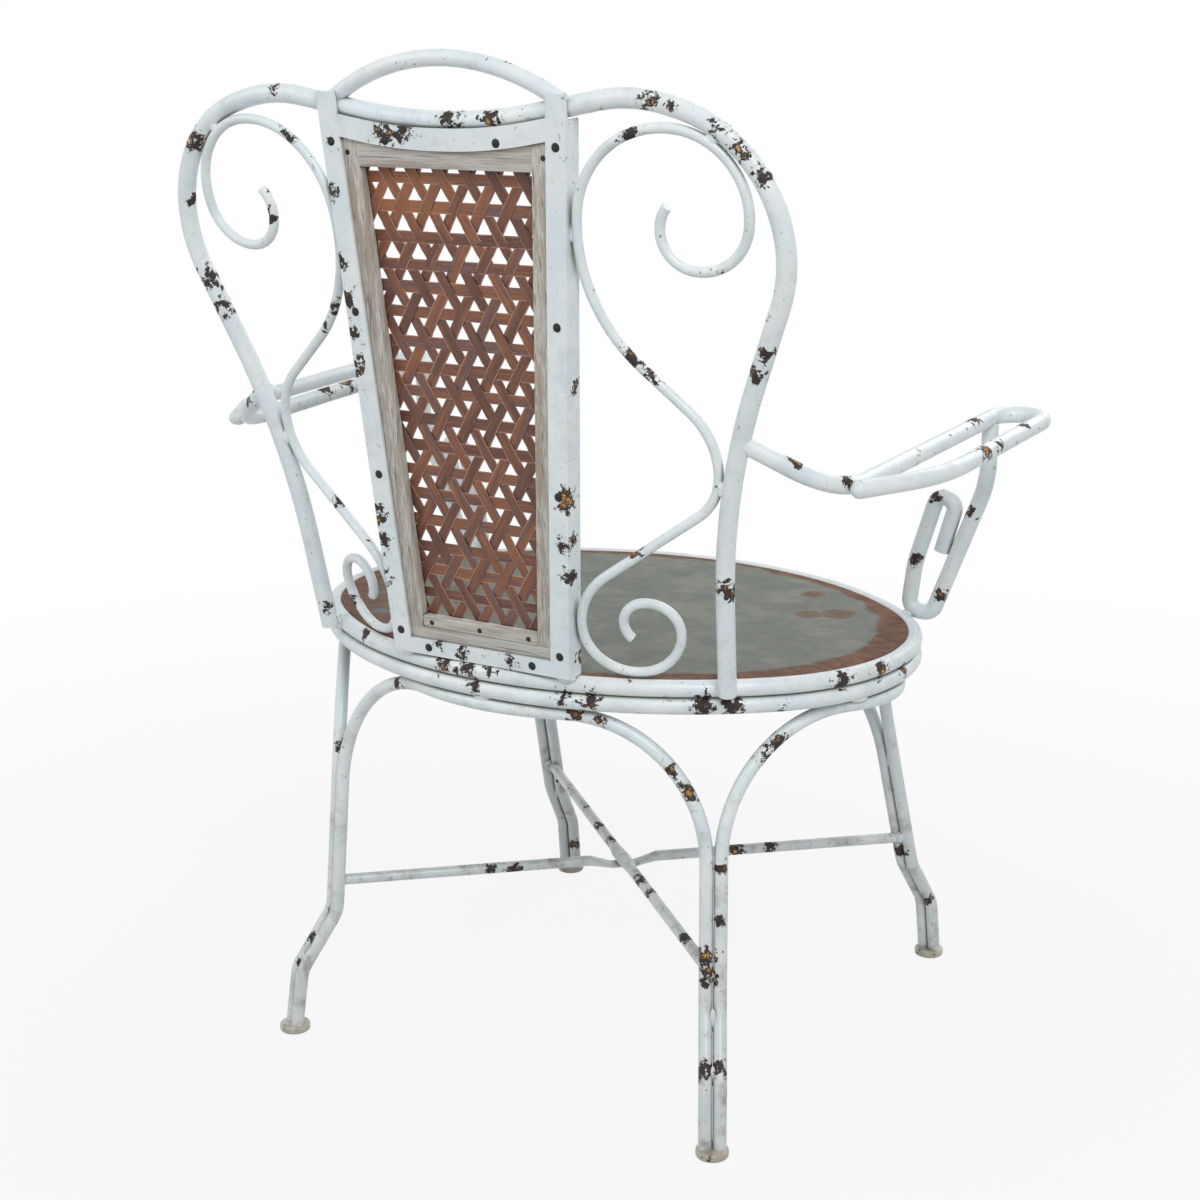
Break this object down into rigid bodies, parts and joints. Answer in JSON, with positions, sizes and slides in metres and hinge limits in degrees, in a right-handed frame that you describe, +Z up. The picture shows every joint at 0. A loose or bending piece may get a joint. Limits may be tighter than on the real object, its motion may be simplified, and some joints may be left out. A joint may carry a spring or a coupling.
{
  "type": "garden armchair",
  "caption": "Garden armchair bent from painted round steel rod, with an oval sheet seat, a scrolled hoop back, a cane back panel in a wooden frame and looped arms.",
  "frame": {"origin": "on the floor, at the middle of the chair's width and depth, below the middle of the seat", "axes": "+Z up, the chair faces -Y with its back at +Y, the sitter's left is +X"},
  "size_m": [0.794, 0.5849, 0.9829],
  "materials": {
    "painted_rod": "old pale blue-white paint, chipped to dark and rusty metal",
    "foot_metal": "dirty worn paint",
    "seat_sheet": "dull grey patina with a rusty rim",
    "weathered_wood": "whitewashed, weathered grain",
    "cane": "dull reddish brown",
    "dark_screws": "dark, dull"
  },
  "bodies": {
    "root": {"arm_loop_left": "painted_rod", "arm_loop_right": "painted_rod", "arm_support_left": "painted_rod", "arm_support_right": "painted_rod", "back_hoop": "painted_rod", "bottom_plate": "painted_rod", "brace_lower": "painted_rod", "brace_upper": "painted_rod", "cane_panel": "cane", "crest_arch": "painted_rod", "foot_pad_front_left": "foot_metal", "foot_pad_front_right": "foot_metal", "foot_pad_rear_left": "foot_metal", "foot_pad_rear_right": "foot_metal", "leg_arch_front": "painted_rod", "leg_arch_left": "painted_rod", "leg_arch_rear": "painted_rod", "leg_arch_right": "painted_rod", "panel_post_left": "painted_rod", "panel_post_right": "painted_rod", "panel_screws": "dark_screws", "scroll_left": "painted_rod", "scroll_right": "painted_rod", "seat_panel": "seat_sheet", "seat_ring_lower": "painted_rod", "seat_ring_upper": "painted_rod", "top_plate": "painted_rod", "wood_nails": "dark_screws", "wood_rail_bottom": "weathered_wood", "wood_rail_top": "weathered_wood", "wood_stile_left": "weathered_wood", "wood_stile_right": "weathered_wood", "wood_strip_bottom": "weathered_wood"}
  },
  "joints": []
}
